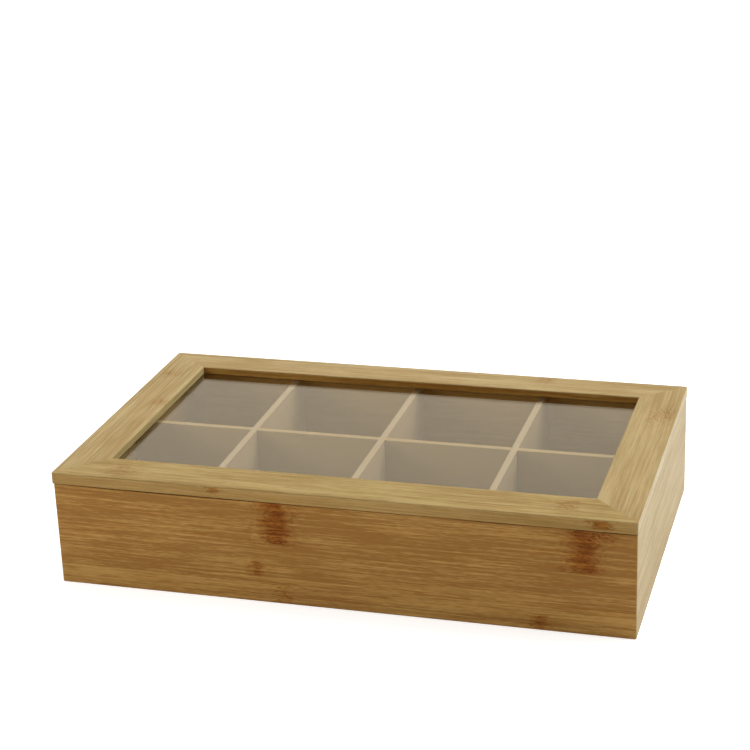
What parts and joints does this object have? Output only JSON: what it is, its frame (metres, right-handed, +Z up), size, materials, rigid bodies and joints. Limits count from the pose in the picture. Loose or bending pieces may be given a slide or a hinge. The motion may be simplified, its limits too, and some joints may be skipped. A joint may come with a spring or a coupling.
{
  "type": "tea bag organizer box",
  "caption": "Low bamboo storage box for tea bags, divided into compartments, with a hinged bamboo-framed lid around a clear window.",
  "frame": {"origin": "on the surface that the box stands on, under the middle of the closed lid", "axes": "+X to the right along the front, +Y towards the hinged back, +Z up"},
  "size_m": [0.3358, 0.2008, 0.0696],
  "materials": {
    "bamboo": "satin clear lacquer over carbonised-look bamboo strips, fine grain along each board",
    "pale_board": "matte, pale bamboo board",
    "clear_window": "clear polished acrylic sheet",
    "hinge_brass": "brushed brass-plated steel"
  },
  "bodies": {
    "box": {"front_wall": "bamboo", "back_wall": "bamboo", "left_wall": "bamboo", "right_wall": "bamboo", "bottom_panel": "pale_board", "long_divider": "pale_board", "cross_divider_left": "pale_board", "cross_divider_middle": "pale_board", "cross_divider_right": "pale_board", "left_hinge_wall_leaf": "hinge_brass", "left_hinge_pin": "hinge_brass", "left_hinge_wall_screws": "hinge_brass", "right_hinge_wall_leaf": "hinge_brass", "right_hinge_pin": "hinge_brass", "right_hinge_wall_screws": "hinge_brass"},
    "lid": {"lid_front_rail": "bamboo", "lid_back_rail": "bamboo", "lid_left_rail": "bamboo", "lid_right_rail": "bamboo", "lid_corner_tongues": "pale_board", "window_pane": "clear_window", "left_hinge_lid_leaf": "hinge_brass", "left_hinge_lid_screws": "hinge_brass", "right_hinge_lid_leaf": "hinge_brass", "right_hinge_lid_screws": "hinge_brass"}
  },
  "joints": [
    {"name": "lid_hinge", "type": "hinge", "parent": "box", "child": "lid", "pos_m": [0.00015, 0.0979, 0.0623], "axis": [-1, 0, 0], "range_deg": [0, 100]}
  ]
}
